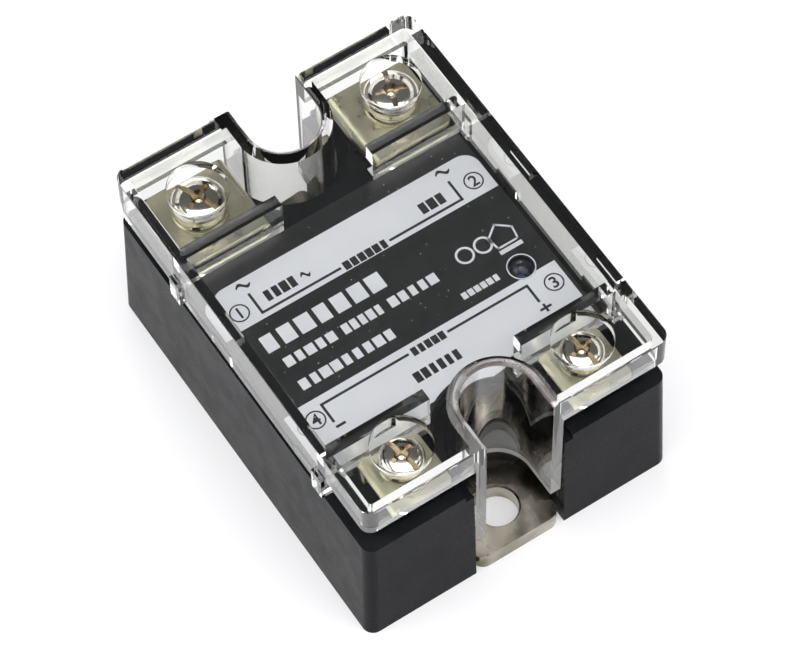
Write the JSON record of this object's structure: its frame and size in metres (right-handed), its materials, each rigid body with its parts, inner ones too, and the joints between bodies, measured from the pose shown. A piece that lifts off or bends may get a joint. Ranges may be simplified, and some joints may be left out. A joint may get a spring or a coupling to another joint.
{
  "type": "solid state relay",
  "caption": "Panel-mount solid state relay: black moulded case on a metal base plate with open mounting slots, screw terminals and a clear lift-off cover.",
  "frame": {"origin": "bottom centre of the metal base plate, on the mounting face", "axes": "+Z out of the mounting face, +Y from the input end to the output end, +X to the right seen from the input end"},
  "size_m": [0.045, 0.0584, 0.0303],
  "materials": {
    "plate": "tumbled, slightly warm grey",
    "casing": "moulded black, satin",
    "clear": "clear moulded polycarbonate, polished",
    "label": "printed black and white film",
    "lamp": "water-clear epoxy dome",
    "plated": "passivated zinc, slightly yellow",
    "steel": "zinc plated",
    "ceramic": "white alumina with copper on both faces",
    "silicon": "dark silicon",
    "potting": "black potting compound",
    "board": "green solder mask",
    "moulded": "black moulded package",
    "resistor": "pale blue lacquer",
    "capacitor": "amber box"
  },
  "bodies": {
    "relay": {"base_plate": "plate", "case": "casing", "label": "label", "status_lamp": "lamp", "ceramic_substrate": "ceramic", "thyristor_chip_1": "silicon", "thyristor_chip_2": "silicon", "gate_pin_1": "steel", "gate_pin_2": "steel", "potting": "potting", "driver_board": "board", "optocoupler": "moulded", "driver_transistor": "moulded", "input_resistor": "resistor", "gate_resistor": "resistor", "snubber_resistor": "resistor", "protection_diode": "moulded", "snubber_capacitor": "capacitor", "output_terminal_1": "plated", "output_terminal_2": "plated", "input_terminal_3": "plated", "input_terminal_4": "plated", "captive_nut_1": "steel", "captive_nut_2": "steel", "captive_nut_3": "steel", "captive_nut_4": "steel"},
    "cover": {"protective_cover": "clear"},
    "clamp_1": {"flat_washer_1": "plated", "spring_washer_1": "steel"},
    "screw_1": {"terminal_screw_1": "plated"},
    "clamp_2": {"flat_washer_2": "plated", "spring_washer_2": "steel"},
    "screw_2": {"terminal_screw_2": "plated"},
    "clamp_3": {"flat_washer_3": "plated", "spring_washer_3": "steel"},
    "screw_3": {"terminal_screw_3": "plated"},
    "clamp_4": {"flat_washer_4": "plated", "spring_washer_4": "steel"},
    "screw_4": {"terminal_screw_4": "plated"}
  },
  "joints": [
    {"name": "cover_lift", "type": "slide", "parent": "relay", "child": "cover", "axis": [0, 0, 1], "range_m": [0, 0.024]},
    {"name": "clamp_rise_1", "type": "slide", "parent": "relay", "child": "clamp_1", "axis": [0, 0, 1], "range_m": [0, 0.0028]},
    {"name": "screw_turn_1", "type": "hinge", "parent": "clamp_1", "child": "screw_1", "pos_m": [-0.0142, 0.0211, 0.026], "axis": [0, 0, 1], "range_deg": [0, 1440]},
    {"name": "clamp_rise_2", "type": "slide", "parent": "relay", "child": "clamp_2", "axis": [0, 0, 1], "range_m": [0, 0.0028]},
    {"name": "screw_turn_2", "type": "hinge", "parent": "clamp_2", "child": "screw_2", "pos_m": [0.0142, 0.0211, 0.026], "axis": [0, 0, 1], "range_deg": [0, 1440]},
    {"name": "clamp_rise_3", "type": "slide", "parent": "relay", "child": "clamp_3", "axis": [0, 0, 1], "range_m": [0, 0.002]},
    {"name": "screw_turn_3", "type": "hinge", "parent": "clamp_3", "child": "screw_3", "pos_m": [0.013, -0.0227, 0.026], "axis": [0, 0, 1], "range_deg": [0, 1440]},
    {"name": "clamp_rise_4", "type": "slide", "parent": "relay", "child": "clamp_4", "axis": [0, 0, 1], "range_m": [0, 0.002]},
    {"name": "screw_turn_4", "type": "hinge", "parent": "clamp_4", "child": "screw_4", "pos_m": [-0.013, -0.0227, 0.026], "axis": [0, 0, 1], "range_deg": [0, 1440]}
  ],
  "couplings": [
    {"joint": "screw_turn_1", "follows": "clamp_rise_1", "rad_per_m": 8976},
    {"joint": "screw_turn_2", "follows": "clamp_rise_2", "rad_per_m": 8976},
    {"joint": "screw_turn_3", "follows": "clamp_rise_3", "rad_per_m": 12566},
    {"joint": "screw_turn_4", "follows": "clamp_rise_4", "rad_per_m": 12566}
  ]
}
